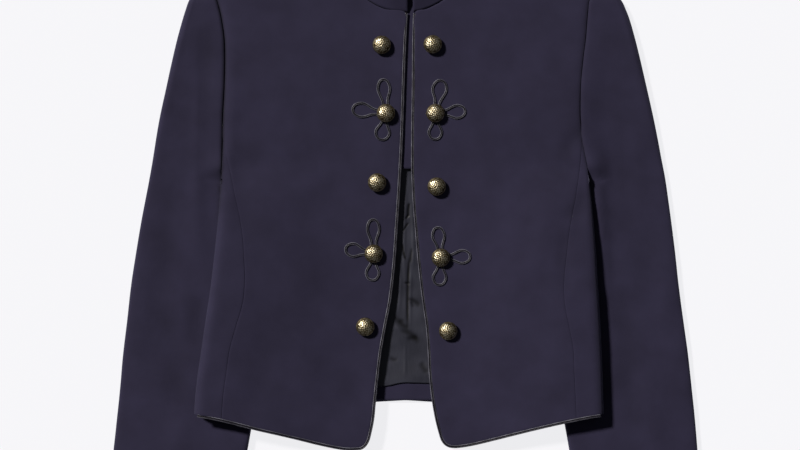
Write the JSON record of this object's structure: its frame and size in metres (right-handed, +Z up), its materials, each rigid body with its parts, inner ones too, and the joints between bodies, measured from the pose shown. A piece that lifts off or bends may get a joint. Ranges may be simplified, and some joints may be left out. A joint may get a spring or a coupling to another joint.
{
  "type": "military jacket",
  "caption": "Short dark wool military jacket laid flat, with a stand collar, long sleeves, open piped fronts, domed brass buttons and trefoil cord loops over a satin lining.",
  "frame": {"origin": "centre of the jacket's outline at the floor it lies on", "axes": "+Z up from the floor, +Y from the hem towards the collar, +X towards the wearer's left sleeve"},
  "size_m": [0.6466, 0.6812, 0.025],
  "materials": {
    "wool_cloth": "dense felted wool cloth in a very dark blue-violet grey",
    "satin_lining": "creased dark grey satin",
    "satin_cord": "narrow braided cord and bound piping with a soft sheen",
    "aged_brass": "pressed brass darkened in its hollows"
  },
  "bodies": {
    "root": {"front_right": "wool_cloth", "front_left": "wool_cloth", "side_front_right": "wool_cloth", "side_front_left": "wool_cloth", "back_right": "wool_cloth", "back_left": "wool_cloth", "sleeve_upper_right": "wool_cloth", "sleeve_upper_left": "wool_cloth", "sleeve_under_right": "wool_cloth", "sleeve_under_left": "wool_cloth", "collar": "wool_cloth", "underlap": "wool_cloth", "back_hem_facing": "wool_cloth", "back_lining": "satin_lining", "piping_right": "satin_cord", "piping_left": "satin_cord", "frog_right_2": "satin_cord", "frog_left_2": "satin_cord", "frog_right_4": "satin_cord", "frog_left_4": "satin_cord", "button_right_1": "aged_brass", "button_right_2": "aged_brass", "button_right_3": "aged_brass", "button_right_4": "aged_brass", "button_right_5": "aged_brass", "button_left_1": "aged_brass", "button_left_2": "aged_brass", "button_left_3": "aged_brass", "button_left_4": "aged_brass", "button_left_5": "aged_brass"}
  },
  "joints": []
}
